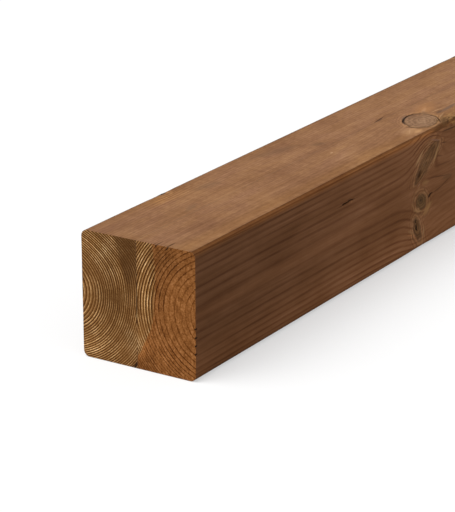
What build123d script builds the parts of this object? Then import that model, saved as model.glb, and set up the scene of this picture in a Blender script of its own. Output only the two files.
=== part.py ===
"""Glulam post: two pine lamellae glued face to face, planed square, with rounded long arrises.

The post lies on one of its four sides. X runs across the two lamellae, Y along the grain and Z up.
The origin is the middle of the face that the post lies on. Every size is in millimetres, and every
station is a distance from the near end, which is the end towards -Y.
"""

import os
from math import sqrt

from build123d import *

# The post
post_length = 2400.0
post_width = 90.0
arris_radius = 4.5
left_thickness = 43.6
glue_film = 0.2

# Bark pocket: the crescent of dead bark on the inner side of the knot in the top face
knot_station = 343.0
knot_inset = 19.0
knot_length = 41.0
knot_width = 28.0
knot_turn = -27.0
bark_width = 1.3
bark_depth = 1.6
bark_bearing = 114.0

# Rim crack: the split that opens along the far side of the same knot, towards the right face
rim_station = 356.0
rim_inset = 10.0
rim_length = 16.0
rim_width = 1.3
rim_depth = 1.2
rim_slope = 37.0

# Torn grain: a shallow scoop out of the rounded arris beyond the knot
torn_station = 363.0
torn_length = 26.0
torn_width = 5.0
torn_depth = 0.8

# Check: a hairline opening in the left lamella's top face, by its distance from the glue line
check_station = 330.0
check_inset = 1.6
check_length = 19.0
check_width = 0.6
check_depth = 1.0
check_slope = 6.0

# Voids in the right face: where each lies along the post, how far below the top face, and its size
pocket_station = 198.5
pocket_drop = 21.3
pocket_length = 23.0
pocket_width = 1.8
pocket_depth = 2.4
pocket_slope = 3.0

spike_void_station = 308.5
spike_void_drop = 30.5
spike_void_length = 9.0
spike_void_width = 2.0
spike_void_depth = 2.0
spike_void_slope = 49.0

low_void_station = 304.5
low_void_drop = 70.0
low_void_length = 7.0
low_void_width = 1.6
low_void_depth = 2.2
low_void_slope = -74.0

ring_void_station = 324.5
ring_void_drop = 51.8
ring_void_length = 5.5
ring_void_width = 1.7
ring_void_depth = 1.4
ring_void_slope = 24.0

# Splits that the saw opened in the near end's top arris, by their distance from the right face
split_insets = (30.2, 22.0)
split_width = 0.7
split_run = 9.0
split_fall = 3.4

# Chips where the saw broke out of hard growth rings on the near end's right arris
chip_heights = (19.6, 25.4, 31.0, 37.2)
chip_height = 1.0
chip_run = 1.5
chip_depth = 1.0

# Torn sliver beside the glue line, at the foot of the near end
sliver_width = 1.6
sliver_height = 6.5
sliver_run = 2.5

# Planes and faces that follow from the sizes above
near_end = -post_length / 2
right_face = post_width / 2
left_face = -post_width / 2
glue_left = left_face + left_thickness
glue_right = glue_left + glue_film
right_thickness = right_face - glue_right


def on_right_face(station, drop):
    """The plane of the right face at one station, with its x axis along the grain."""
    return Plane(
        origin=(right_face, near_end + station, post_width - drop), x_dir=(0, 1, 0), z_dir=(1, 0, 0)
    )


def on_top_face(x, station):
    """The plane of the top face at one station, with its x axis along the grain."""
    return Plane(origin=(x, near_end + station, post_width), x_dir=(0, 1, 0), z_dir=(0, 0, 1))


def lens(length, width):
    """A pointed lens of two arcs, longest along x."""
    with BuildSketch() as outline:
        with BuildLine():
            ThreePointArc((-length / 2, 0), (0, width / 2), (length / 2, 0))
            ThreePointArc((length / 2, 0), (0, -width / 2), (-length / 2, 0))
        make_face()
    return outline.sketch


# Left lamella: a rectangle with its two outer corners rounded, drawn on the near end
with BuildPart() as lamella_left:
    with BuildSketch(Plane.XZ.offset(-near_end)) as left_section:
        with Locations(((left_face + glue_left) / 2, post_width / 2)):
            Rectangle(left_thickness, post_width)
        fillet(left_section.vertices().group_by(Axis.X)[0], arris_radius)
    extrude(amount=-post_length)

    # Torn sliver: a wedge that is widest at the foot and closes upwards
    with BuildSketch(Plane.XZ.offset(-near_end)):
        with BuildLine():
            Polyline(
                (glue_left, 0),
                (glue_left, sliver_height),
                (glue_left - sliver_width, 0),
                close=True,
            )
        make_face()
    extrude(amount=-sliver_run, mode=Mode.SUBTRACT)

    # Check beside the glue line
    with BuildSketch(on_top_face(glue_left - check_inset, check_station).rotated((0, 0, check_slope))):
        add(lens(check_length, check_width))
    extrude(amount=-check_depth, mode=Mode.SUBTRACT)

lamella_left.part.label = "lamella_left"

# Right lamella: the mirror form, drawn to the width that the left one and the glue leave
with BuildPart() as lamella_right:
    with BuildSketch(Plane.XZ.offset(-near_end)) as right_section:
        with Locations(((glue_right + right_face) / 2, post_width / 2)):
            Rectangle(right_thickness, post_width)
        fillet(right_section.vertices().group_by(Axis.X)[-1], arris_radius)
    extrude(amount=-post_length)

    # Resin pocket and the voids in the knots of the right face
    with BuildSketch(on_right_face(pocket_station, pocket_drop).rotated((0, 0, pocket_slope))):
        add(lens(pocket_length, pocket_width))
    extrude(amount=-pocket_depth, mode=Mode.SUBTRACT)
    with BuildSketch(
        on_right_face(spike_void_station, spike_void_drop).rotated((0, 0, spike_void_slope))
    ):
        add(lens(spike_void_length, spike_void_width))
    extrude(amount=-spike_void_depth, mode=Mode.SUBTRACT)
    with BuildSketch(on_right_face(low_void_station, low_void_drop).rotated((0, 0, low_void_slope))):
        add(lens(low_void_length, low_void_width))
    extrude(amount=-low_void_depth, mode=Mode.SUBTRACT)
    with BuildSketch(
        on_right_face(ring_void_station, ring_void_drop).rotated((0, 0, ring_void_slope))
    ):
        add(lens(ring_void_length, ring_void_width))
    extrude(amount=-ring_void_depth, mode=Mode.SUBTRACT)

    # Bark pocket: the knot's ellipse less the same ellipse moved away from the bark
    with BuildSketch(on_top_face(right_face - knot_inset, knot_station)):
        Ellipse(knot_length / 2, knot_width / 2, rotation=-knot_turn)
        with PolarLocations(bark_width, 1, start_angle=bark_bearing - 180, rotate=False):
            Ellipse(knot_length / 2, knot_width / 2, rotation=-knot_turn, mode=Mode.SUBTRACT)
    extrude(amount=-bark_depth, mode=Mode.SUBTRACT)

    # Rim crack, and the scoop of torn grain on the plane that touches the arris at half its turn
    with BuildSketch(on_top_face(right_face - rim_inset, rim_station).rotated((0, 0, rim_slope))):
        add(lens(rim_length, rim_width))
    extrude(amount=-rim_depth, mode=Mode.SUBTRACT)
    arris_set_back = arris_radius * (1 - sqrt(0.5))
    arris_plane = Plane(
        origin=(right_face - arris_set_back, near_end + torn_station, post_width - arris_set_back),
        x_dir=(0, 1, 0),
        z_dir=(1, 0, 1),
    )
    with BuildSketch(arris_plane):
        add(lens(torn_length, torn_width))
    extrude(amount=-torn_depth, mode=Mode.SUBTRACT)

    # End splits: a triangle on each split's plane, deepest at the end and closing along the grain
    for inset in split_insets:
        with BuildSketch(Plane.YZ.offset(right_face - inset - split_width / 2)):
            with BuildLine():
                Polyline(
                    (near_end, post_width),
                    (near_end + split_run, post_width),
                    (near_end, post_width - split_fall),
                    close=True,
                )
            make_face()
        extrude(amount=split_width, mode=Mode.SUBTRACT)

    # Arris chips: a small wedge at each hard ring, open to the end and to the right face
    for height in chip_heights:
        with BuildSketch(Plane.XY.offset(height - chip_height / 2)):
            with BuildLine():
                Polyline(
                    (right_face, near_end),
                    (right_face, near_end + chip_run),
                    (right_face - chip_depth, near_end),
                    close=True,
                )
            make_face()
        extrude(amount=chip_height, mode=Mode.SUBTRACT)

lamella_right.part.label = "lamella_right"

# Glue line: the cured film that fills the joint from end to end and from face to face
with BuildPart() as glue_line:
    with Locations(((glue_left + glue_right) / 2, 0, post_width / 2)):
        Box(glue_film, post_length, post_width)

glue_line.part.label = "glue_line"

os.makedirs("parts", exist_ok=True)
export_step(lamella_left.part, "parts/lamella_left.step")
export_step(lamella_right.part, "parts/lamella_right.step")
export_step(glue_line.part, "parts/glue_line.step")
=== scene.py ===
"""Glulam post: the two pine lamellae get their growth rings, knots and planed faces.

Sizes are in millimetres, as in the part's source, and become metres when a mesh is made. A station is
a distance from the near end, along the grain.
"""

import math
from dataclasses import dataclass, field
from types import SimpleNamespace

import bpy
import numpy as np
from mathutils import Matrix, Vector


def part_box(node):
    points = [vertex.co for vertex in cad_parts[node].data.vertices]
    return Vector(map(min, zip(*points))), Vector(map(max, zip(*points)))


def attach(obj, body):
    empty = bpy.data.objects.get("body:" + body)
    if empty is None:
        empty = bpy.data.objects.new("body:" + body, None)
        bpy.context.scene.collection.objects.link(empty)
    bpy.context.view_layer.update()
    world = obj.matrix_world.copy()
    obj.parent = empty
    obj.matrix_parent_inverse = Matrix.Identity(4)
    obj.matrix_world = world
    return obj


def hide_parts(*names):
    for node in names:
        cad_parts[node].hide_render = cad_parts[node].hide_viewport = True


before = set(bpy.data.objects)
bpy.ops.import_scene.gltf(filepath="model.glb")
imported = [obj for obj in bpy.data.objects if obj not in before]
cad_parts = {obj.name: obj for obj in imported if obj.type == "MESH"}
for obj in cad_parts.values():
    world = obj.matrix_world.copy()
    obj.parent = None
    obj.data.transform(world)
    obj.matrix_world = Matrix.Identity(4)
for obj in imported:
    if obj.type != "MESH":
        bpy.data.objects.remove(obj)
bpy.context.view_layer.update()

MM = 0.001

# The post, read from the frame
_, left_high = (np.array(corner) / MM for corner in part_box("lamella_left"))
right_low, right_high = (np.array(corner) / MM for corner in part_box("lamella_right"))
near_y = right_low[1]
length = right_high[1] - right_low[1]
height = right_high[2] - right_low[2]
outer_x = right_high[0]
glue_left = left_high[0]
glue_right = right_low[0]

# The camera, solved from the photo's straight edges
camera_place = (822.7, -2384.5, 590.4)
camera_azimuth = 32.45
camera_elevation = 19.53
camera_roll = -0.14
camera_lens = 164.9

# The mesh: how far apart its stations are, and where the post has detail or is in the photo
arris_radius = 4.5
section_step = 1.2
end_step = 1.0
far_end_step = 1.5
detail_step = 1.2
knot_step = 1.5 * detail_step
plain_step = 9.0
coarse_step = 26.0
step_growth = 0.22
sharp_angle = 40.0
photo_reach = 560.0
detail_zones = ((186.0, 213.0), (293.0, 384.0))

# What each face of a board's mesh is
LONG, NEAR, FAR, GLUED = range(4)

# Relief: how far the surface falls, in the knots, the bark, the torn grain and the planer's ripple
knot_fall = 0.14
bark_fall = 1.0
torn_fall = 0.4
torn_rough = 0.35
ripple_fall = 0.03
sawn_fall = 0.05


def smooth(low, high, value):
    """0 below low, 1 above high, and a smooth rise between them."""
    t = np.clip((value - low) / (high - low), 0, 1)
    return t * t * (3 - 2 * t)


def bump(*terms):
    """1 at the middle and less round it. Each term is a value, its middle and its reach."""
    return np.exp(-sum(((value - middle) / reach) ** 2 for value, middle, reach in terms))


def linear(red, green, blue):
    """A colour given as the photo's 0 to 255 values, in linear light."""
    c = np.array((red, green, blue)) / 255
    return np.where(c <= 0.04045, c / 12.92, ((c + 0.055) / 1.055) ** 2.4)


# Growth: each board is a slice of its own tree, beside the pith


@dataclass
class Branch:
    """A branch that starts at the pith. Its heading is in the section, its rise along the grain."""

    station: float
    heading: tuple
    rise: float
    ring: float
    born: float
    widest: float = 99.0
    collar: float = 0.25
    start: tuple = (0.0, 0.0)
    shows: tuple = (0.0, 999.0)
    colour: tuple = (146, 104, 66)
    figure: float = 1.6
    core: float = 0.0
    halo: float = 0.6
    bark: tuple = None


@dataclass
class Board:
    """A lamella: which side of the glue it lies on, its tree's pith and rings, and its branches."""

    side: int
    glue: float
    pith: tuple
    squash: float
    radii: tuple
    widths: tuple
    known_radius: float
    known_age: float
    drift: tuple
    sway: float
    swell: float = 0.0
    bows: tuple = ()
    branches: list = field(default_factory=list)

    def __post_init__(self):
        step = 0.1
        r = np.arange(0, 140, step)
        rings = np.cumsum(step / np.interp(r, self.radii, self.widths))
        rings += self.known_age - np.interp(self.known_radius, r, rings)
        self.table = r, rings

    @property
    def thickness(self):
        return outer_x - self.side * self.glue

    def age_at(self, radius):
        return np.interp(radius, *self.table)

    def pith_at(self, s):
        """Where the pith runs: beside the board, with the slow wander of a real stem."""
        stations, out, up = np.array(self.drift).T
        s = np.asarray(s, float)
        dx = sum(np.interp(s + a, stations, out) for a in (-12, 0, 12)) / 3
        dz = sum(np.interp(s + a, stations, up) for a in (-12, 0, 12)) / 3
        far = smooth(480, 760, s)
        dx = dx + far * self.sway * (np.sin(s / 171) + 0.6 * np.sin(s / 83 + 1))
        dz = dz + far * self.sway * (np.cos(s / 207) + 0.7 * np.sin(s / 97))
        return self.pith[0] + self.side * dx, self.pith[1] + dz

    def grown(self, x, s, z):
        """The wood at some points: the stem's age, and what the nearest knot does there."""
        px, pz = self.pith_at(s)
        dx, dz = x - px, (z - pz) / self.squash
        radius = np.hypot(dx, dz)
        turn = np.arctan2(dz, dx)
        ripple = 0.3 * np.sin(3 * turn + s / 190) * smooth(12, 60, radius)
        swollen = self.swell * bump((turn, 0.42, 0.33))
        ripple -= swollen * np.clip(radius - 38, 0, 60)
        stem = self.age_at(radius + ripple)
        found = {
            "knot": np.full_like(stem, -99.0),
            "figure": np.zeros_like(stem),
            "core": np.zeros_like(stem),
            "halo": np.zeros_like(stem),
            "bark": np.zeros_like(stem),
            "knot_wood": np.zeros((*stem.shape, 3)),
            "age": stem.copy(),
        }
        for bow_s, bow_x, bow_z, reach, rise, years in self.bows:
            near = bump((s, bow_s, reach), (z, bow_z, rise), (x, bow_x, 14))
            found["age"] -= years * near
        for b in self.branches:
            hx, hz = np.array(b.heading) / np.hypot(*b.heading)
            bx, bz = x - px - b.start[0], z - pz - b.start[1]
            out = bx * hx + bz * hz
            across = -bx * hz + bz * hx
            along = s - b.station - b.rise * out
            far = np.hypot(across, along / math.hypot(1, b.rise))
            low, high = b.shows
            ends = np.sqrt(np.clip((out - low) / 7, 0, 1) * np.clip((high - out) / 7, 0, 1))
            wide = np.clip(b.ring * (stem - b.born), 0.2, b.widest) * ends + 0.01
            inside = wide - far - 3 * (1 - np.sign(ends))
            near = bump((across, 0, 1.5 * wide + 1), (along, 0, 3.0 * wide + 4))
            found["age"] -= b.collar * wide * near
            bark = np.zeros_like(stem)
            if b.bark:
                toward = (b.bark[0] * -across * hz + b.bark[1] * along) / (far + 1)
                bark = smooth(0.5, 0.85, toward)
            new = {
                "knot": inside,
                "figure": far / b.figure,
                "core": bump((far, 0, max(b.core, 0.1))) * (b.core > 0),
                "halo": np.full_like(stem, b.halo),
                "bark": bark,
                "knot_wood": np.broadcast_to(linear(*b.colour), (*stem.shape, 3)),
            }
            better = inside > found["knot"]
            for key, value in new.items():
                which = better[..., None] if value.ndim > stem.ndim else better
                found[key] = np.where(which, value, found[key])
        return found


right = Board(
    side=1,
    glue=glue_right,
    pith=(63.4, 47.0),
    squash=0.949,
    radii=(0, 19, 24, 42, 48, 54, 62, 70, 85),
    widths=(4.6, 3.1, 4.3, 4.3, 3.4, 2.3, 2.1, 1.7, 1.4),
    known_radius=19.0,
    known_age=4.0,
    drift=(
        (0, 0.0, 0.0),
        (95, -0.5, 0.3),
        (190, -0.1, 0.0),
        (250, -0.6, -0.6),
        (300, -1.0, -0.8),
        (361, 0.5, -0.3),
        (430, 1.1, 0.2),
        (2400, 1.1, 0.2),
    ),
    sway=1.3,
    bows=((320, 45, 79, 19, 8.5, 2.6), (322, 45, 92, 19, 9, 0.8), (309, 45, 29, 9, 7, 0.5)),
    branches=[
        Branch(
            303.2,
            (-0.45, 0.893),
            0.85,
            1.1,
            2.3,
            widest=13.7,
            start=(-15.7, 0),
            shows=(24, 999),
            colour=(148, 112, 83),
            figure=3.4,
            halo=0.3,
            bark=(-0.97, -0.24),
        ),
        Branch(
            293.1,
            (-0.25, 0.968),
            1.18,
            1.5,
            2.0,
            widest=7.3,
            collar=0.3,
            start=(-13.4, 0.3),
            shows=(6.5, 34.8),
            colour=(147, 103, 65),
            figure=2.3,
            halo=0.25,
        ),
        Branch(
            292.7,
            (-18.4, -7.4),
            0.92,
            1.42,
            0.6,
            colour=(148, 109, 70),
            figure=2.0,
            core=2.4,
            halo=0.5,
        ),
        Branch(
            290,
            (-18.4, -26.7),
            0.46,
            0.83,
            2.3,
            widest=7.4,
            colour=(141, 98, 60),
            figure=2.1,
            core=1.4,
            halo=0.3,
        ),
    ],
)
left = Board(
    side=-1,
    glue=glue_left,
    pith=(-63.4, 46.2),
    squash=0.912,
    radii=(0, 23, 33, 40, 66, 72, 90),
    widths=(3.6, 2.8, 2.0, 1.6, 1.6, 1.45, 1.4),
    known_radius=22.3,
    known_age=6.0,
    drift=((0, 0.0, 0.0), (90, 0.6, -0.5), (300, -0.4, 0.6), (529, 0.5, 0.0), (2400, 0.0, 0.0)),
    sway=1.6,
    swell=0.13,
    branches=[
        Branch(60, (18.8, 43.2), 0.62, 0.5, 3.0, widest=3.4, collar=0.9, colour=(84, 66, 50)),
        Branch(500, (18.8, 43.2), 0.62, 0.5, 3.0, widest=4.5, collar=0.7, colour=(94, 76, 58)),
    ],
)


# Marks: lens-shaped voids, checks, stains and strokes of grain. Those with a depth are sunk. The dark
# of voids, checks, splits and chips is painted shade in their hollows


@dataclass
class Mark:
    """A lens in a face's own plane: along the grain and up or across, or across and up on the end."""

    board: Board
    face: str
    station: float
    across: float
    length: float
    width: float
    slope: float
    depth: float = 0.0
    share: float = 1.0
    colour: tuple = (40, 25, 15)
    rim: float = 0.45

    def rows(self):
        """What (along, across, 1) is multiplied by, to give the place within the lens, from -1 to 1."""
        turn = math.radians(self.slope)
        u = np.array((math.cos(turn), math.sin(turn))) / (self.length / 2)
        v = np.array((-math.sin(turn), math.cos(turn))) / (self.width / 2)
        middle = (self.station, self.across)
        return (*u, -u @ middle), (*v, -v @ middle)

    def shape(self, s, across):
        """1 in the middle of the lens and 0 at its rim."""
        u, v = (row[0] * s + row[1] * across + row[2] for row in self.rows())
        return np.clip(1 - u * u - np.abs(v), 0, 1)


def lay(board, face, *rows):
    """Adds a mark to a board's face for each row. A row has Mark's own fields, from station on."""
    marks.extend(Mark(board, face, *row) for row in rows)


marks = []
lay(
    right,
    "side",
    # Resin pocket, with the stained grain that leads to it, and the voids in the side knots. The pocket
    # is dark with its resin and with painted shade; the voids are painted dark as shade in them
    (199, 68.7, 21, 1.8, 3, 2),
    (194, 68.5, 20, 1.6, 2, 0, 0.8, (58, 34, 18), 1),
    (197, 68.6, 52, 1.6, 1, 0, 0.6, (92, 54, 28), 1),
    (307, 59.8, 13, 7, 50, 0.5, 0.8, (66, 34, 14), 1),
    (308.5, 60, 7, 1.6, 52, 1.4, 0.3),
    (319.5, 72.5, 22, 1.8, 44, 0, 0.5, (84, 54, 30), 1),
    (325.5, 77.6, 16, 2.2, 22, 0, 0.5, (80, 52, 28), 1),
    (314.2, 65.8, 4.6, 2.4, 8, 0, 0.6, (150, 116, 84), 1),
    (304.5, 19.2, 7, 3.4, -68, 1.8),
    (302.6, 24.4, 4.4, 2, -60, 0.6, 0.75),
    (310.4, 16, 12, 3, -62, 0, 0.5, (150, 116, 74), 1),
    (325.5, 38.9, 9, 3, 22, 1.2, 0.85, (52, 34, 20)),
    (337, 40.6, 26, 1.5, 5, 0, 0.7, (76, 46, 26), 1),
    (351, 43.4, 26, 1.5, 14, 0, 0.6, (80, 52, 30), 1),
    (340, 50.2, 50, 1.6, -10, 0, 0.6, (80, 52, 30), 1),
    (353, 46.4, 24, 6, -2, 0, 0.4, (104, 78, 50), 1),
    (345, 59, 40, 1.4, -4, 0, 0.45, (84, 54, 32), 1),
    # The grain that is pressed together round the side knots, pale and dark
    (306.6, 73.2, 22, 5, 38, 0, 0.85, (204, 156, 108), 1),
    (321, 80.6, 22, 1.8, 12, 0, 0.6, (196, 148, 100), 1),
    (323, 83, 30, 2.4, 4, 0, 0.4, (180, 130, 88), 1),
    (332, 81, 24, 2.6, -16, 0, 0.45, (176, 134, 112), 1),
    (333.6, 70.2, 24, 5, 56, 0, 0.9, (196, 148, 98), 1),
    (338.5, 66.8, 16, 2, -12, 0, 0.5, (70, 42, 22), 1),
    (346, 75.5, 14, 1.8, -12, 0, 0.6, (64, 38, 20), 1),
    (355, 84.2, 36, 2.2, -3, 0, 0.8, (62, 38, 20), 1),
    (317, 51.5, 16, 8, -10, 0, 0.5, (186, 138, 88), 1),
    (306.5, 52, 8, 1.6, 30, 0, 0.6, (196, 150, 120), 1),
    (316.2, 46, 9, 1.5, -60, 0, 0.5, (72, 44, 24), 1),
    (305.5, 48, 13, 3.4, 28, 0, 0.5, (180, 134, 90), 1),
    (298, 37.5, 10, 2.6, -52, 0, 0.5, (186, 140, 92), 1),
    (306, 31.8, 20, 2.6, -16, 0, 0.75, (196, 148, 98), 1),
    (321.5, 29.5, 20, 9, 28, 0, 0.75, (192, 142, 88), 1),
    (316.2, 13, 12, 2.6, 84, 0, 0.85, (200, 156, 108), 1),
    (296.5, 17.2, 16, 4.4, -28, 0, 0.6, (190, 142, 96), 1),
    # The lines that run along under the right arris
    (105, 85.5, 260, 1.3, -0.6, 0, 0.45, (80, 46, 20), 1),
    (40, 87.6, 110, 0.9, -1, 0, 0.6, (74, 42, 18), 1),
    (205, 88.1, 200, 1.1, 0.2, 0, 0.55, (78, 44, 20), 1),
)
lay(
    right,
    "top",
    # Round the top knot: the rim crack, painted dark as shade in it, warm wood on either side, and the
    # grey streak beyond it
    (356, 35, 16, 1.9, -37, 1, 0.8, (58, 36, 20)),
    # A pale line along the crack's edge is a painted highlight
    (357, 32.4, 10, 1.5, -42, 0, 0.6, (206, 166, 128), 1),
    (316, 32, 34, 24, -14, 0, 0.4, (204, 158, 114), 1),
    (319, 37, 16, 9, -6, 0, 0.5, (212, 162, 112), 1),
    (315, 31.5, 20, 1.8, -26, 0, 0.25, (214, 172, 130), 1),
    (314, 35.6, 18, 1.6, -20, 0, 0.35, (150, 104, 66), 1),
    (376, 12, 54, 24, -12, 0, 0.5, (188, 134, 84), 1),
    (371, 13.8, 24, 5, -18, 0, 0.35, (208, 160, 120), 1),
    (387, 10.5, 24, 7, -8, 0, 0.35, (142, 102, 70), 1),
    # A dark band along the right arris is painted shade where the arris turns from the light
    (344, 43, 48, 10, -5, 0, 0.85, (88, 54, 26), 1),
    # A grey-blue mark below the bark crescent is painted shadow
    (345, 9.6, 18, 3, -12, 0, 0.5, (132, 108, 92), 1),
    (358.5, 14.5, 20, 7, 10, 0, 0.8, (112, 78, 54), 1),
    (325, 29, 20, 4, 78, 0, 0.9, (98, 68, 44), 1),
    (332, 38.5, 18, 3.6, 30, 0, 0.5, (112, 80, 54), 1),
    (340, 23, 34, 3, -30, 0, 0.3, (116, 82, 58), 1),
    (347, 27, 28, 3, -32, 0, 0.3, (182, 144, 112), 1),
    (356, 38.5, 30, 9, -30, 0, 0.6, (98, 70, 40), 1),
    (359.5, 31.4, 9, 1.8, -44, 0, 0.8, (64, 40, 24), 1),
    (367, 31.2, 20, 2.4, -14, 0, 0.5, (188, 150, 108), 1),
    (372, 35.6, 18, 3, -8, 0, 0.5, (170, 130, 84), 1),
    (364.5, 39, 8, 3, -20, 0, 0.8, (62, 38, 22), 1),
    (362.5, 24.6, 5, 2.4, -25, 0.4, 0.6, (96, 62, 46), 1),
    (361.5, 15.5, 12, 3, -28, 0.2, 0.5, (104, 74, 52), 1),
    (389, 26.3, 46, 7, -3, 0, 0.75, (112, 88, 74), 1),
    (374, 25.6, 14, 6, -8, 0, 0.7, (92, 68, 54), 1),
    (364.5, 18, 17, 10, -40, 0, 0.7, (124, 92, 66), 1),
    (378, 21.8, 20, 2.2, 8, 0, 0.6, (198, 154, 112), 1),
    (357, 42, 12, 2.6, -24, 0, 0.7, (62, 38, 20), 1),
    # The saw's splits in the near end's top arris, painted dark as shade in them, and a speck
    (0, 14.8, 20, 1.5, 2, 0.5, 0.75, (74, 44, 22)),
    (0, 12.9, 18, 1.2, -3, 0, 0.5, (84, 52, 32)),
    (0, 23, 24, 1.6, 2, 0.5, 0.85, (68, 40, 20)),
    (236, 9.5, 4, 1.6, 0, 0, 0.7, (214, 170, 130)),
)
lay(
    right,
    "end",
    # The same splits, on the end, painted dark as shade where they open
    (14.6, 89.4, 4, 1.1, 62, 0, 0.8, (56, 34, 18)),
    (23.4, 88.8, 5.5, 1.3, 48, 0, 0.9, (50, 30, 16)),
)
lay(
    left,
    "top",
    # A check painted dark as shade in it, smudges, and a dark mark on the arris with the pale grain
    # round it
    (330, -3, 22, 1.9, -6, 0.4, 0.85, (78, 48, 32)),
    (250, -9.7, 20, 13, 25, 0, 0.5, (110, 80, 58), 1),
    (216, -27, 70, 18, 14, 0, 0.38, (116, 86, 62), 1),
    (122, -25, 40, 16, 8, 0, 0.36, (118, 90, 66), 1),
    (76, -8, 26, 9, -12, 0, 0.38, (118, 90, 68), 1),
    (91, -42.4, 15, 4, 0, 0, 1, (40, 28, 24), 0.6),
    (79, -35, 24, 1.5, 9, 0, 0.5, (206, 150, 92), 1),
    (84, -38, 20, 1.5, 12, 0, 0.5, (210, 152, 90), 1),
    (74, -31, 22, 1.5, 6, 0, 0.35, (206, 150, 92), 1),
)
lay(
    left,
    "end",
    # The torn sliver at the foot of the glue line, painted dark on the flat end as shade in its hollow
    (-2.6, 2, 10, 2.4, 62, 0, 0.9, (46, 28, 14)),
    (-5.4, 0.5, 6.5, 1.2, 50, 0, 0.7, (70, 44, 22)),
)

# The chips in the near end's right arris, painted dark as shade in them, and the ends of two rings
# above them
for up in (19.6, 25.4, 31.0, 37.2):
    lay(right, "side", (0, up, 5, 2, 0, 0.5, 0.9, (50, 28, 14)))
    lay(right, "end", (45.2, up, 3, 2, 0, 0, 0.95, (50, 26, 12)))
for up in (64.9, 70.4):
    lay(right, "end", (45, up, 2.6, 1.6, 12, 0, 0.7, (72, 42, 20)))


# Meshes


def stations_for(board):
    """Stations close together where the board has detail, and far apart where it is plain."""
    zones = [(0.0, 9.0, end_step), (length - 3.0, length, far_end_step)]
    if board is right:
        zones += [(low, high, detail_step) for low, high in detail_zones]
    else:
        for b in board.branches:
            shows_at = b.station + b.rise * outer_x
            zones.append((shows_at - 18, shows_at + 22, knot_step))
    found = [0.0]
    while found[-1] < length:
        s = found[-1]
        step = plain_step if s < photo_reach else coarse_step
        for low, high, fine in zones:
            gap = max(low - s, s - high, 0)
            step = min(step, fine + step_growth * gap)
            if low > s:
                step = min(step, max(fine, low - s))
        found.append(s + step)
    found = np.array(found)
    return found * length / found[-1]


def section(board):
    """The lamella's section as a grid from the glue line to the outer face, with round arrises."""
    width = board.thickness
    nx, nz = round(width / section_step), round(height / section_step)
    u = np.linspace(0, width, nx + 1)[:, None] * np.ones(nz + 1)
    z = np.ones(nx + 1)[:, None] * np.linspace(0, height, nz + 1)
    a = np.clip((u - (width - arris_radius)) / arris_radius, 0, 1)
    for end in (0, 1):
        rise = z if end else height - z
        b = np.clip((rise - (height - arris_radius)) / arris_radius, 0, 1)
        both = (a > 0) & (b > 0)
        new_a, new_b = a * np.sqrt(1 - b * b / 2), b * np.sqrt(1 - a * a / 2)
        u = np.where(both, width - arris_radius + arris_radius * new_a, u)
        turned = height - arris_radius + arris_radius * new_b
        z = np.where(both, turned if end else height - turned, z)
    return board.glue + board.side * u, z


def outline_of(nx, nz):
    """Grid indices round the open side of the section: along the bottom, up, and back along the top."""
    bottom = [(i, 0) for i in range(nx + 1)]
    outer = [(nx, j) for j in range(1, nz + 1)]
    top = [(i, nz) for i in range(nx - 1, -1, -1)]
    return np.array(bottom + outer + top)


def relief(board, x, s, z, normal_x, normal_z):
    """How far the surface is from the planed one, always 0 or below, with knots, voids and tears."""
    grown = board.grown(x, s, z)
    top, side = smooth(0.5, 0.9, normal_z), smooth(0.5, 0.9, board.side * normal_x)
    out = -knot_fall * smooth(1.5, -1.0, grown["knot"]) * smooth(-14, -4, grown["knot"])
    out += ripple_fall * (np.sin(s / 61 + x / 9) * np.sin(s / 37 + z / 7) - 1)
    out = np.where(normal_z < -0.3, out - sawn_fall, out)
    bark = grown["bark"] * top * smooth(-1.4, -0.5, grown["knot"]) * smooth(0.9, 0.1, grown["knot"])
    out -= bark_fall * bark
    if board is right:
        rough = torn_rough * np.sin(s * 1.9 + x) * np.sin(x * 2.7 + z)
        out -= torn_at(s, x, z) * (torn_fall + rough)
    for m in marks:
        if m.board is board and m.depth:
            over, across = (top, x) if m.face == "top" else (side, z)
            out -= m.depth * over * np.sqrt(m.shape(s, across))
    return np.minimum(out, 0)


def torn_at(s, x, z):
    """1 where the grain is torn out along the right arris, beyond the top knot."""
    return bump((s, 363, 13), (x, 41, 7), (z, 90, 6))


def mesh_from(name, points, quads, hidden):
    """A smooth mesh of quads and one wide face, with each corner's point and each face's corners."""
    mesh = bpy.data.meshes.new(name)
    mesh.vertices.add(len(points))
    mesh.vertices.foreach_set("co", ((points + (0, near_y, 0)) * MM).ravel())
    corners = np.concatenate([quads.ravel(), np.array(hidden)])
    starts = np.concatenate([np.arange(len(quads)) * 4, [quads.size]])
    totals = np.concatenate([np.full(len(quads), 4), [len(hidden)]])
    mesh.loops.add(len(corners))
    mesh.loops.foreach_set("vertex_index", corners)
    mesh.polygons.add(len(starts))
    mesh.polygons.foreach_set("loop_start", starts)
    mesh.polygons.foreach_set("loop_total", totals)
    mesh.update(calc_edges=True)
    mesh.shade_smooth()
    mesh.set_sharp_from_angle(angle=math.radians(sharp_angle))
    return mesh, corners, totals


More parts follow.
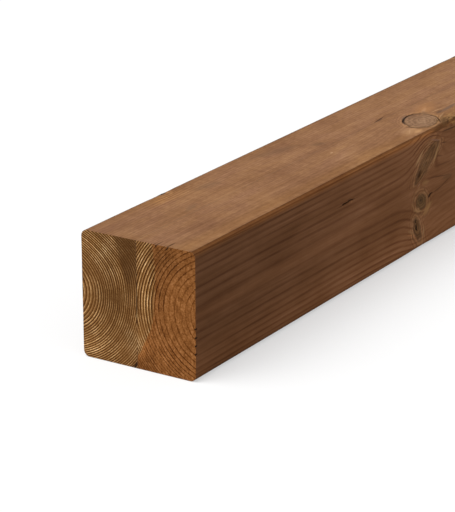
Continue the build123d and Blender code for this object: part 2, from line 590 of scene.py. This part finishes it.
def lamella(board, name, node):
    """One board: round its outline along the stations, a dense grid on each end, one hidden face."""
    gx, gz = section(board)
    nx, nz = gx.shape[0] - 1, gx.shape[1] - 1
    ring = outline_of(nx, nz)
    ox, oz = gx[ring[:, 0], ring[:, 1]], gz[ring[:, 0], ring[:, 1]]
    dx, dz = np.gradient(ox), np.gradient(oz)
    size = np.hypot(dx, dz)
    nxs, nzs = board.side * dz / size, -board.side * dx / size
    stations = stations_for(board)
    count, wide = len(stations), len(ring)

    x = np.broadcast_to(ox, (count, wide))
    z = np.broadcast_to(oz, (count, wide))
    s = np.broadcast_to(stations[:, None], (count, wide))
    normal_x = np.broadcast_to(nxs, (count, wide))
    normal_z = np.broadcast_to(nzs, (count, wide))
    proud = relief(board, x, s, z, normal_x, normal_z)
    proud[:, 0] = proud[:, -1] = 0
    rest = np.stack([x, s, z], -1).reshape(-1, 3)
    moved = np.stack([x + proud * normal_x, s, z + proud * normal_z], -1).reshape(-1, 3)

    grids, extra = [], []
    for station, k in ((0.0, 0), (length, count - 1)):
        index = np.full((nx + 1, nz + 1), -1)
        index[ring[:, 0], ring[:, 1]] = k * wide + np.arange(wide)
        free = np.argwhere(index < 0)
        row, column = free.T
        index[row, column] = len(rest) + sum(map(len, extra)) + np.arange(len(free))
        extra.append(np.stack([gx[row, column], np.full(len(free), station), gz[row, column]], -1))
        grids.append(index)
    rest = np.concatenate([rest, *extra])
    moved = np.concatenate([moved, *extra])

    k, m = np.meshgrid(np.arange(count - 1), np.arange(wide - 1), indexing="ij")
    at = (k * wide + m).ravel()
    long_faces = np.stack([at, at + wide, at + wide + 1, at + 1], -1)
    ends = []
    for index, forward in zip(grids, (False, True)):
        quad = [index[:-1, :-1], index[1:, :-1], index[1:, 1:], index[:-1, 1:]]
        quad = np.stack(quad, -1).reshape(-1, 4)
        ends.append(quad[:, ::-1] if forward else quad)
    if board is left:
        long_faces = long_faces[:, ::-1]
        ends = [quad[:, ::-1] for quad in ends]
    near, far = grids
    hidden = (
        list(near[0, :])
        + [i * wide + wide - 1 for i in range(1, count - 1)]
        + list(far[0, ::-1])
        + [i * wide for i in range(count - 2, 0, -1)]
    )
    if board is right:
        hidden = hidden[::-1]

    mesh, corners, totals = mesh_from(name, moved, np.concatenate([long_faces, *ends]), hidden)
    sizes = [len(long_faces), len(ends[0]), len(ends[1]), 1]
    kind = np.repeat(np.repeat([LONG, NEAR, FAR, GLUED], sizes), totals)
    place = rest[corners]
    normals = np.zeros((len(rest), 2))
    normals[: count * wide] = np.stack([normal_x, normal_z], -1).reshape(-1, 2)
    paint(mesh, board, place, kind, normals[corners])
    unwrap(mesh, board, place, kind, corners, wide)

    piece = bpy.data.objects.new(name, mesh)
    bpy.context.collection.objects.link(piece)
    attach(piece, "root")
    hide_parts(node)
    return piece


# Colours, as the faces show them under plain light: the body of the wood, its tints and its lines

side_body = linear(140, 93, 59)
top_body = linear(150, 108, 75)
sap_body = linear(121, 80, 40)
heart_body = linear(149, 94, 47)
burr_body = linear(190, 136, 80)
rosy_tint = linear(144, 102, 78)
yellow_tint = linear(152, 108, 66)
warm_tint = linear(150, 104, 62)
# The arris colour is painted shade, for the rounded arris that turns from the light
arris_shade_colour = linear(98, 54, 19)
seam_colour = linear(58, 29, 10)
halo_colour = linear(204, 154, 106)
core_colour = linear(52, 38, 26)
rim_colour = linear(84, 58, 36)
bark_colour = linear(44, 30, 22)
joint_colour = linear(52, 30, 14)
torn_dark = linear(66, 42, 22)
torn_light = linear(164, 124, 74)
glue_dark = linear(84, 55, 29)
glue_light = linear(122, 86, 50)

# What a knot's dark rings multiply its colour by, what painted shade on a turned arris changes, and
# what a dull zone changes
knot_rings = np.array((0.46, 0.44, 0.42))
arris_shade_change = (0.07, 0.16, 0.41)
dull_change = (-0.02, 0.14, 0.46)

# How much a line shows: a full dark line and a full light one, against the body
dark_line = 0.82
darkest = 0.2
light_line = 3.0

# How far apart the arcs of grain round a knot lie, and how deep the fine grain goes, in metres
arc_gap = 2.5
grain_depth = 0.00018

# Soft zones of the near end: x, z, reach across, reach up, then light lines, dark lines, tone
# Their tone makes the end mostly darker near its top and lighter near its bottom: partly painted light
# from below, as from the floor, and partly the wood's own patches.
end_zones = [
    (-40, 82, 9, 7, 0.60, 0.46, 0.02),
    (-28, 80, 10, 12, 0.70, 0.54, -0.19),
    (-21, 68, 7, 12, 0.25, 0.30, -0.10),
    (-7, 60, 4, 9, -0.20, 0.00, -0.14),
    (-20, 44, 12, 15, -0.18, 0.05, -0.16),
    (-42, 45, 8, 14, -0.12, -0.05, 0.32),
    (-36, 26, 12, 12, 0.35, 0.25, 0.11),
    (-38, 8, 14, 8, 0.40, 0.30, 0.30),
    (-8, 11, 8, 9, -0.30, -0.15, 0.34),
    (-20, 5, 8, 6, 0.20, 0.25, 0.06),
    (6, 76, 6, 20, 0.42, 0.38, 0.14),
    (5, 48, 6, 16, 0.28, 0.20, 0.22),
    (1, 22, 5, 9, -0.14, -0.2, 0.64),
    (21, 82, 16, 11, 0.00, 0.38, -0.20),
    (16, 66, 5, 24, 0.00, 0.28, -0.14),
    (33, 50, 14, 24, 0.00, -0.22, 0.06),
    (24, 12, 22, 12, 0.00, 0.36, 0.06),
    (5, 5, 9, 7, 0.00, 0.30, -0.14),
]

# Greyer zones of the near end, or warmer ones below 0: x, z, reach, how much
dull_zones = ((-2, 19, 9, 1.0), (-40, 47, 12, 0.3), (-8, 9, 7, 0.3), (-35, 80, 13, -0.3))

# The heartwood's edge on the right board: height, and how far across it lies
heart_heights = (0, 8, 14, 24, 30, 42, 70, 90)
heart_edge = (-8.0, -2.5, 2.5, 6.5, 9.5, 12.3, 13.7, 11.6)


def paint(mesh, board, place, kind, normals):
    """Stores what the wood's shader reads: ages, knots, lines, and the colour of the body.

    share is how much of a year its dark line takes. line and glint are how strong the dark and the
    light line are, and tone is how much lighter the body is.
    """
    x, s, z = place.T
    grown = board.grown(x, s, z)
    end = (kind == NEAR) | (kind == FAR)
    near_end = kind == NEAR
    top = np.where(end, 0, smooth(0.70, 0.90, np.abs(normals[:, 1])))
    outer = np.where(end, 0, smooth(0.3, 0.7, board.side * normals[:, 0]))
    body = side_body * (1 - top)[:, None] + top_body * top[:, None]
    thin = smooth(305, 325, s) * bump((z, 46, 10))
    share = np.where(end, 0.34 + 0.10 * smooth(6, 16, grown["age"]), 0.28 - 0.17 * thin)
    glint = np.where(end, 0.55, 0.0)
    line = np.where(end, 0.66, 0.33 - 0.17 * top)
    calm = bump((z, 46, 6)) * smooth(280, 200, s)
    # On the outer side, tone also paints light and shade: darker towards the near end and lighter
    # towards the bottom, in place of the lamps' and the floor's light. The lighter band at the pith's
    # height is the wood's own.
    tone = 0.46 * (smooth(0, 330, s) - 0.5) + 0.34 * smooth(40, 0, z) + 0.13 * calm
    tone = tone * outer
    line = line * (1 - outer * (0.08 + 0.3 * calm))
    bands = np.where(end, 0, 0.12 + 0.06 * outer)
    if board is right:
        plain = smooth(312, 326, s) * smooth(54, 36, z) + smooth(330, 345, s) * smooth(40, 50, z)
        line = line * (1 - 0.55 * outer * np.clip(plain, 0, 1) * smooth(700, 400, s))
        arcs = bump((s, 318, 20), (z, 82, 6)) + 0.8 * bump((s, 296, 8), (z, 15, 5))
        glint = glint + 0.14 * outer * arcs
        line = line + (0.45 * arcs + 0.05 * smooth(14, 5, z)) * outer
        edge = np.interp(z, heart_heights, heart_edge) + 0.4 * np.sin(grown["age"] * 2 * np.pi)
        heart = smooth(-0.5, 0.5, x - edge) * end
        band = 1.8 * bump((x, 35, 7)) * top
        bands = bands + 0.34 * outer * arcs
        torn = torn_at(s, x, z)
    else:
        heart = np.zeros(len(x))
        band = bump((x, -41, 7)) * top
        torn = np.zeros(len(x))
        wedge = smooth(-1.0, 1.2, x + 19 - 0.28 * (90 - z)) * smooth(52, 72, z) * near_end
        glint = glint - 0.36 * wedge
        line = line - 0.22 * wedge
        tone = tone - 0.30 * wedge
        warm = bump((s, 84, 20), (x, -36, 8), (z, 90, 8))
        body = body + warm[:, None] * (burr_body - body) * 0.5
        line = line + 0.5 * warm
    line = line + 0.4 * top * smooth(3.5, 0, s)
    # The rounded arrises are darkened a little: painted shade where the surface turns from the light
    turned = np.where(end, 0, 4 * (normals**2).prod(1))
    tone = tone - turned * 0.01
    body = body * (1 - np.clip(turned, 0, 1)[:, None] * arris_shade_change)
    tone = tone - 0.11 * band - 0.05 * top * smooth(60, 0, s)
    glint = glint * (1 - heart)
    line = line - 0.06 * heart
    share = share - 0.14 * heart
    on_end, in_heart = end[:, None], heart[:, None]
    body = np.where(on_end, sap_body * (1 - in_heart) + heart_body * in_heart, body)
    for dull_x, dull_z, reach, much in dull_zones:
        dull = much * bump((x, dull_x, reach), (z, dull_z, reach)) * near_end * (1 - heart)
        body = body * (1 + dull[:, None] * dull_change)
    for zx, zz, rx, rz, lights, darks, more in end_zones:
        blob = bump((x, zx, rx), (z, zz, rz)) * near_end
        glint = glint + lights * blob * (1 - heart)
        line = line + darks * blob
        tone = tone + more * blob
    values = {
        "age": grown["age"],
        "figure": grown["figure"],
        "knot": np.maximum(grown["knot"], -40),
        "core": grown["core"],
        "halo": grown["halo"],
        "bands": bands,
        "bark": grown["bark"] * top * (normals[:, 1] > 0),
        "share": share,
        "glint": np.clip(glint, 0, 1.4),
        "line": np.clip(line, 0, 1),
        "end": end.astype(float),
        "heart": heart,
        "flat": top,
        "torn": torn,
        "warm": band,
    }
    for key, value in values.items():
        layer = mesh.attributes.new(key, "FLOAT", "CORNER")
        layer.data.foreach_set("value", value.astype(np.float32))
    body = body * (1 + tone)[:, None]
    for key, value in (("body", body), ("knot_wood", grown["knot_wood"])):
        layer = mesh.attributes.new(key, "FLOAT_COLOR", "CORNER")
        rgba = np.concatenate([np.clip(value, 0, 1), np.ones((len(x), 1))], 1)
        layer.data.foreach_set("color", rgba.astype(np.float32).ravel())


def within(row, part):
    """The height of a part, from 0 to 1, of a row of the map."""
    start, reach = row
    return start + reach * part


def unwrap(mesh, board, place, kind, corners, wide):
    """A map that gives the ends and the length in the photo more room than the plain far length.

    The map is four rows. Each begins at one height and takes up a share of the map.
    """
    photo_row, far_row = (0.005, 0.355), (0.37, 0.175)
    cap_row, glued_row = (0.555, 0.42), (0.982, 0.014)
    margin, span = 0.004, 0.992
    x, s, z = place.T
    across = board.side * (x - board.glue)
    around = np.where(kind == LONG, corners % wide, 0) / (wide - 1)
    u, v = np.zeros(len(x)), np.zeros(len(x))
    faces = np.flatnonzero(kind == LONG).reshape(-1, 4)
    middle = s[faces].mean(1)
    near = np.repeat(middle < photo_reach, 4)
    which = faces.ravel()
    cut = s[which]
    break_at = max(s[faces][middle < photo_reach].max(), photo_reach)
    u[which] = np.where(near, cut / break_at, (cut - break_at) / (length - break_at))
    u[which] = margin + span * u[which]
    v[which] = np.where(near, within(photo_row, around[which]), within(far_row, around[which]))
    for code, left_edge, reach in ((NEAR, margin, 0.62), (FAR, 0.634, 0.36)):
        cap = kind == code
        u[cap] = left_edge + reach * z[cap] / height
        v[cap] = within(cap_row, across[cap] / board.thickness)
    glued = kind == GLUED
    u[glued] = margin + span * s[glued] / length
    v[glued] = within(glued_row, z[glued] / height)
    layer = mesh.uv_layers.new(name="OFBake")
    layer.data.foreach_set("uv", np.stack([u, v], -1).astype(np.float32).ravel())


# Materials


class Nodes:
    """Adds nodes to a material. Each call returns the new node's output."""

    def __init__(self, name, tree=None):
        if tree is None:
            self.material = bpy.data.materials.new(name)
            self.material.use_nodes = True
            tree = self.material.node_tree
            self.shader = tree.nodes["Principled BSDF"]
        self.tree = tree

    def add(self, kind, out=0, settings=None, **inputs):
        node = self.tree.nodes.new(kind)
        for key, value in (settings or {}).items():
            setattr(node, key, value)
        for key, value in inputs.items():
            self.plug(node.inputs[key.replace("_", " ")], value)
        return node.outputs[out]

    def plug(self, socket, value):
        if isinstance(value, bpy.types.NodeSocket):
            self.tree.links.new(value, socket)
        elif value is not None:
            socket.default_value = value

    def math(self, what, a, b=None, c=None):
        node = self.tree.nodes.new("ShaderNodeMath")
        node.operation = what
        for socket, value in zip(node.inputs, (a, b, c)):
            self.plug(socket, value)
        return node.outputs[0]

    def times(self, first, *others):
        """The product of all the values."""
        for other in others:
            first = self.math("MULTIPLY", first, other)
        return first

    def ramp(self, value, slope, base):
        """slope times the value, plus base."""
        return self.math("MULTIPLY_ADD", value, slope, base)

    def vector(self, what, a, b, out=0):
        node = self.tree.nodes.new("ShaderNodeVectorMath")
        node.operation = what
        self.plug(node.inputs[0], a)
        self.plug(node.inputs[1], b)
        return node.outputs[out]

    def rise(self, value, low, high, to_low=0.0, to_high=1.0):
        return self.add(
            "ShaderNodeMapRange",
            settings={"interpolation_type": "SMOOTHSTEP"},
            Value=value,
            From_Min=low,
            From_Max=high,
            To_Min=to_low,
            To_Max=to_high,
        )

    def value(self, name):
        return self.add("ShaderNodeAttribute", "Fac", {"attribute_name": name})

    def colour(self, name):
        return self.add("ShaderNodeAttribute", "Color", {"attribute_name": name})

    def mix(self, share, a, b, how="MIX"):
        node = self.tree.nodes.new("ShaderNodeMix")
        node.data_type, node.blend_type = "RGBA", how
        node.clamp_factor = True
        self.plug(node.inputs["Factor"], share)
        for socket, value in ((node.inputs[6], a), (node.inputs[7], b)):
            if isinstance(value, np.ndarray):
                value = (*value, 1)
            self.plug(socket, value)
        return node.outputs[2]

    def noise(self, place, scale, detail=2.0, rough=0.5, warp=0.0):
        return self.add(
            "ShaderNodeTexNoise",
            "Fac",
            Vector=place,
            Scale=scale,
            Detail=detail,
            Roughness=rough,
            Distortion=warp,
        )

    def toned(self, colour, tone, green, blue):
        """Lighter or darker as stained wood is: blue changes most, then green, and red least."""
        three = self.add(
            "ShaderNodeCombineXYZ",
            X=tone,
            Y=self.math("POWER", tone, green),
            Z=self.math("POWER", tone, blue),
        )
        return self.vector("MULTIPLY", colour, three)

    def blend(self, share, a, b):
        node = self.tree.nodes.new("ShaderNodeMix")
        for socket, value in zip(node.inputs, (share, None, a, b)):
            self.plug(socket, value)
        return node.outputs[0]


def lens_group():
    """The form that all marks share: full inside the lens, and soft at its rim."""
    tree = bpy.data.node_groups.new("lens", "ShaderNodeTree")
    for name, kind in (
        ("Place", "Vector"),
        ("U", "Vector"),
        ("V", "Vector"),
        ("Rim", "Float"),
        ("Share", "Float"),
        ("Own", "Float"),
    ):
        tree.interface.new_socket(name=name, in_out="INPUT", socket_type="NodeSocket" + kind)
    tree.interface.new_socket(name="Mask", in_out="OUTPUT", socket_type="NodeSocketFloat")
    n = Nodes("lens", tree)
    given = tree.nodes.new("NodeGroupInput").outputs
    u, v = (n.vector("DOT_PRODUCT", given["Place"], given[row], "Value") for row in "UV")
    body = n.math("SUBTRACT", n.ramp(n.times(u, u), -1.0, 1.0), n.math("ABSOLUTE", v))
    mask = n.rise(body, 0.0, given["Rim"], 0.0, given["Share"])
    n.plug(tree.nodes.new("NodeGroupOutput").inputs["Mask"], n.times(mask, given["Own"]))
    return tree


lens = lens_group()

# The wood's noise: its stretch across, along and up, then scale, detail, roughness and distortion
textures = {
    "fibres": ((1, 0.03, 1), 900, 3, 0.6),
    "streaks": ((1, 0.012, 1), 300, 4, 0.6),
    "weave": ((1, 0.35, 1), 560, 3, 0.65),
    "cells": ((1, 1, 1), 1100, 2, 0.6),
    "mottle": ((1, 1, 1), 700, 4, 0.75),
    "clouds": ((1, 0.5, 1), 34, 4, 0.62),
    "blush": ((1, 0.3, 1), 55, 3, 0.6, 0.6),
    "patches": ((1, 1, 1), 90, 3, 0.6),
    "rollers": ((0.1, 1, 0.1), 300, 2, 0.5),
    "lumps": ((1, 1, 0.5), 300, 3, 0.65, 0.4),
    "broad": ((1, 0.04, 1), 110, 2, 0.5),
    "wobble": ((1, 0.06, 1), 420, 2, 0.5),
    "swirl": ((1, 1, 1), 160, 2, 0.5),
    "pits": ((1, 0.25, 1), 520, 3, 0.7),
}


def wood(name, board):
    """Pine: rings from the stored ages, knots, fibres along the grain, and the board's own marks."""
    n = Nodes(name)
    place = n.add("ShaderNodeTexCoord", "Object")
    where = n.tree.nodes.new("ShaderNodeSeparateXYZ")
    n.plug(where.inputs[0], place)
    x = n.times(where.outputs[0], 1 / MM)
    s = n.ramp(where.outputs[1], 1 / MM, -near_y)
    z = n.times(where.outputs[2], 1 / MM)
    end, flat, heart = n.value("end"), n.value("flat"), n.value("heart")
    on_long = n.math("SUBTRACT", 1.0, end)
    noise = SimpleNamespace()
    for key, (stretch, *settings) in textures.items():
        setattr(noise, key, n.noise(n.vector("MULTIPLY", place, stretch), *settings))

    # Rings: a light line as a year starts, and a dark one as it ends
    age = n.math("ADD", n.value("age"), n.ramp(noise.wobble, 0.22, -0.11))
    phase = n.math("FRACT", age)
    year = n.add(
        "ShaderNodeTexNoise", "Fac", {"noise_dimensions": "1D"}, W=age, Scale=0.8, Detail=2.0
    )
    share = n.value("share")
    sawn = n.times(n.rise(phase, n.math("SUBTRACT", 0.92, share), 0.90), n.rise(phase, 1.0, 0.93))
    apart = n.math("SUBTRACT", 0.5, n.math("ABSOLUTE", n.math("SUBTRACT", phase, 0.5)))
    planed = n.rise(apart, n.times(share, n.rise(noise.streaks, 0.3, 0.7, 0.7, 1.3)), 0.02)
    late = n.times(
        n.blend(end, planed, sawn),
        n.value("line"),
        n.rise(year, 0.25, 0.6, 0.55, 1.25),
        n.rise(n.blend(end, noise.blush, noise.patches), 0.32, 0.62, 0.6, 1.25),
    )
    glint = n.times(
        n.rise(phase, 0.50, 0.18),
        n.rise(phase, 0.0, 0.06),
        n.value("glint"),
        n.rise(year, 0.62, 0.34, 0.45, 1.3),
        n.rise(noise.patches, 0.38, 0.62, 0.7, 1.15),
    )
    light = n.ramp(glint, light_line, 1.0)
    dark = n.math("MAXIMUM", n.ramp(late, -dark_line, 1.0), darkest)
    colour = n.toned(n.colour("body"), light, n.blend(end, 1.05, 1.26), n.blend(end, 0.95, 1.6))
    colour = n.toned(colour, dark, 1.3, n.blend(end, 1.6, 2.1))

    # Tint: rosy or yellow clouds on the top, and painted shade that makes a rounded arris as dark as
    # the side
    for low, high, most, tint in ((0.44, 0.66, 0.3, rosy_tint), (0.52, 0.34, 0.25, yellow_tint)):
        colour = n.mix(n.times(n.rise(noise.blush, low, high), flat, most), colour, tint)
    colour = n.mix(n.times(n.value("warm"), 0.3), colour, warm_tint)
    edge = n.ramp(noise.streaks, 1.6, n.math("ABSOLUTE", x))
    colour = n.mix(n.times(n.rise(edge, 42.1, 42.7), flat, 0.9), colour, arris_shade_colour)
    seam = n.times(n.rise(edge, 41.8, 42.3), n.rise(edge, 43.1, 42.5), flat, 0.55)
    colour = n.mix(seam, colour, seam_colour)

    # Tone: each year, each streak and each cloud a little lighter or darker
    cloudy = n.ramp(noise.clouds, n.blend(end, 0.70, 0.30), n.blend(end, 0.65, 0.85))
    banded = n.ramp(n.math("SUBTRACT", noise.broad, 0.5), n.blend(end, 0.36, 0.0), 1.0)
    planed_top = n.times(
        n.ramp(noise.weave, 0.66, 0.67),
        n.ramp(noise.rollers, 0.26, 0.87),
        n.ramp(noise.fibres, 0.34, 0.83),
    )
    fine = n.blend(flat, n.ramp(noise.fibres, 0.62, 0.69), planed_top)
    lumpy = n.rise(noise.lumps, 0.3, 0.7, 0.74, 1.28)
    patchy = n.rise(noise.patches, 0.3, 0.7, 0.90, 1.10)
    in_heart = n.times(n.rise(noise.mottle, 0.3, 0.7, 0.64, 1.36), lumpy)
    in_sap = n.times(n.rise(noise.mottle, 0.3, 0.7, 0.76, 1.24), patchy)
    tone = n.times(
        n.ramp(year, 0.26, 0.87),
        n.ramp(noise.streaks, 0.40, 0.80),
        cloudy,
        banded,
        n.blend(end, fine, n.blend(heart, in_sap, in_heart)),
    )

    # Knots: fine rings of their own, a dark rim and core, and a warm halo in the wood round them
    inside = n.value("knot")
    bend = n.times(noise.swirl, n.blend(flat, 1.0, 2.0))
    knot_phase = n.math("FRACT", n.math("ADD", bend, n.value("figure")))
    knot_wood = n.colour("knot_wood")
    knot_dark = n.mix(1.0, knot_wood, knot_rings, "MULTIPLY")
    knot_late = n.times(n.rise(knot_phase, 0.35, 0.9), n.rise(knot_phase, 1.0, 0.9))
    knot_colour = n.mix(n.times(knot_late, n.blend(flat, 0.75, 0.5)), knot_wood, knot_dark)
    knot_colour = n.mix(n.times(n.value("core"), 0.6), knot_colour, core_colour)
    broken = n.rise(noise.patches, 0.35, 0.6, 0.2, 1.0)
    halo = n.times(n.rise(inside, -7.0, -0.5), on_long, n.value("halo"), broken)
    colour = n.mix(halo, colour, halo_colour)
    bent = n.ramp(inside, 2 * math.pi / arc_gap, n.times(noise.patches, 13.0))
    near = n.times(n.rise(inside, -10.0, -3.5), n.rise(inside, 0.2, -0.6), n.value("bands"))
    arcs = n.times(n.math("SINE", bent), near)
    colour = n.toned(colour, n.math("ADD", arcs, 1.0), 1.05, 1.1)
    depth = n.math("ADD", inside, n.ramp(noise.swirl, 4.0, -2.0))
    colour = n.mix(n.rise(depth, -0.7, 0.7), colour, knot_colour)
    rim = n.times(n.rise(depth, -1.4, -0.2), n.rise(depth, 1.3, 0.1))
    colour = n.mix(n.times(rim, n.blend(flat, 0.45, 0.7)), colour, rim_colour)
    colour = n.toned(colour, tone, 1.25, n.blend(flat, 1.8, 1.4))

    # Torn grain: yellowish fibres and dark pits
    torn_colour = n.mix(n.rise(noise.pits, 0.44, 0.58), torn_dark, torn_light)
    colour = n.mix(n.times(n.value("torn"), 0.75), colour, torn_colour)

    # The joint shows as a thin dark line, mostly on the end
    off_joint = n.math("ABSOLUTE", n.math("SUBTRACT", x, (glue_left + glue_right) / 2))
    joint = n.times(n.rise(off_joint, 0.9, 0.2), n.rise(noise.patches, 0.35, 0.6, 0.5, 0.8))
    shows = n.times(n.rise(z, 26, 40, 0.1, 1.0), n.rise(z, 64, 54, 0.3, 1.0))
    colour = n.mix(n.times(joint, n.blend(end, 0.12, shows)), colour, joint_colour)

    # Dead bark on one side of the top knot
    bark = n.times(n.rise(inside, -1.4, -0.6), n.rise(inside, 0.9, 0.1), n.value("bark"))
    colour = n.mix(bark, colour, bark_colour)

    # Voids, checks, chips and pale grain, each on its own face. The dark of voids, checks and chips is
    # painted shade in their hollows
    faces = {}
    for face, along, across, off, what, limit in (
        ("side", s, z, x, "GREATER_THAN", outer_x - 3),
        ("top", s, x, z, "GREATER_THAN", height - 3),
        ("end", x, z, s, "LESS_THAN", 1.0),
    ):
        spot = n.add("ShaderNodeCombineXYZ", X=along, Y=across, Z=1.0)
        own = n.times(end if face == "end" else on_long, n.math(what, off, limit))
        faces[face] = {"Place": spot, "Own": own}
    deep = bark
    for m in marks:
        if m.board is board:
            u, v = m.rows()
            form = {"U": u, "V": v, "Rim": m.rim, "Share": m.share}
            mask = n.add("ShaderNodeGroup", 0, {"node_tree": lens}, **faces[m.face], **form)
            if m.depth:
                deep = n.math("MAXIMUM", deep, mask)
            colour = n.mix(mask, colour, linear(*m.colour))

    n.plug(n.shader.inputs["Base Color"], colour)
    n.shader.inputs["Specular IOR Level"].default_value = 0.1
    n.plug(n.shader.inputs["Roughness"], n.ramp(noise.fibres, 0.16, 0.60))

    high = n.ramp(noise.fibres, 0.5, n.times(late, 0.6))
    high = n.math("ADD", high, n.times(noise.cells, end, 0.8))
    high = n.math("SUBTRACT", high, n.times(deep, 1.5))
    bump = n.add("ShaderNodeBump", "Normal", Height=high, Strength=0.6, Distance=grain_depth)
    n.plug(n.shader.inputs["Normal"], bump)
    return n.material


left_piece = lamella(left, "board_left", "lamella_left")
left_piece.data.materials.append(wood("pine_left", left))
right_piece = lamella(right, "board_right", "lamella_right")
right_piece.data.materials.append(wood("pine_right", right))

# Glue line: a dark cured film, a little uneven
glue = Nodes("glue")
glue_place = glue.add("ShaderNodeTexCoord", "Object")
glue_tone = glue.noise(glue.vector("MULTIPLY", glue_place, (1, 0.1, 1)), 500, 3)
glue.plug(glue.shader.inputs["Base Color"], glue.mix(glue_tone, glue_dark, glue_light))
glue.shader.inputs["Roughness"].default_value = 0.55
glue_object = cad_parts["glue_line"]
glue_object.data.materials.clear()
glue_object.data.materials.append(glue.material)

# World and floor: the camera sees both near white, and the post gets less light from them
world_level = 0.32
floor_reach = 60.0
floor_drop = 0.0002
floor_seen = 0.5
floor_mesh = bpy.data.meshes.new("floor")
floor_corners = [(floor_reach * a, floor_reach * b, 0) for a, b in ((-1, -1), (1, -1), (1, 1), (-1, 1))]
floor_mesh.from_pydata(floor_corners, [], [(0, 1, 2, 3)])
floor = bpy.data.objects.new("floor", floor_mesh)
floor.location.z = -floor_drop
bpy.context.collection.objects.link(floor)
pale = Nodes("pale_floor")
seen = pale.add("ShaderNodeLightPath", "Is Camera Ray")
floor_colour = pale.mix(seen, np.full(3, world_level), np.full(3, floor_seen))
pale.plug(pale.shader.inputs["Base Color"], floor_colour)
pale.shader.inputs["Emission Color"].default_value = (1, 1, 1, 1)
pale.plug(pale.shader.inputs["Emission Strength"], pale.times(seen, floor_seen))
pale.shader.inputs["Roughness"].default_value = 1.0
pale.shader.inputs["Specular IOR Level"].default_value = 0.0
floor_mesh.materials.append(pale.material)


def sun(name, towards, power, softness):
    """A soft distant lamp. towards points from the post to the lamp."""
    data = bpy.data.lights.new(name, "SUN")
    data.energy = power * math.pi
    data.angle = math.radians(softness)
    lamp = bpy.data.objects.new(name, data)
    lamp.rotation_mode = "QUATERNION"
    lamp.rotation_quaternion = Vector(towards).to_track_quat("Z", "Y")
    bpy.context.collection.objects.link(lamp)


sun("key", (-0.28, -0.5, 0.82), 0.85, 55)
sun("fill", (0.8, -0.3, 0.5), 0.10, 60)

world = bpy.data.worlds.new("studio")
bpy.context.scene.world = world
world.use_nodes = True
sky = world.node_tree
path = sky.nodes.new("ShaderNodeLightPath")
level = sky.nodes.new("ShaderNodeMapRange")
level.inputs["To Min"].default_value = world_level
level.inputs["To Max"].default_value = 1.0
sky.links.new(path.outputs["Is Camera Ray"], level.inputs["Value"])
sky.nodes["Background"].inputs["Color"].default_value = (1, 1, 1, 1)
sky.links.new(level.outputs[0], sky.nodes["Background"].inputs["Strength"])

# Camera
camera_data = bpy.data.cameras.new("camera")
camera_data.lens = camera_lens
camera_data.sensor_width = 36
camera = bpy.data.objects.new("camera", camera_data)
azimuth, elevation = math.radians(camera_azimuth), math.radians(camera_elevation)
back = Vector(
    (
        math.sin(azimuth) * math.cos(elevation),
        -math.cos(azimuth) * math.cos(elevation),
        math.sin(elevation),
    )
)
turned = (-back).to_track_quat("-Z", "Y").to_matrix().to_4x4()
camera.matrix_world = (
    Matrix.Translation(Vector(camera_place) * MM)
    @ turned
    @ Matrix.Rotation(math.radians(camera_roll), 4, "Z")
)
bpy.context.collection.objects.link(camera)
bpy.context.scene.camera = camera
bpy.context.scene.view_settings.view_transform = "Standard"
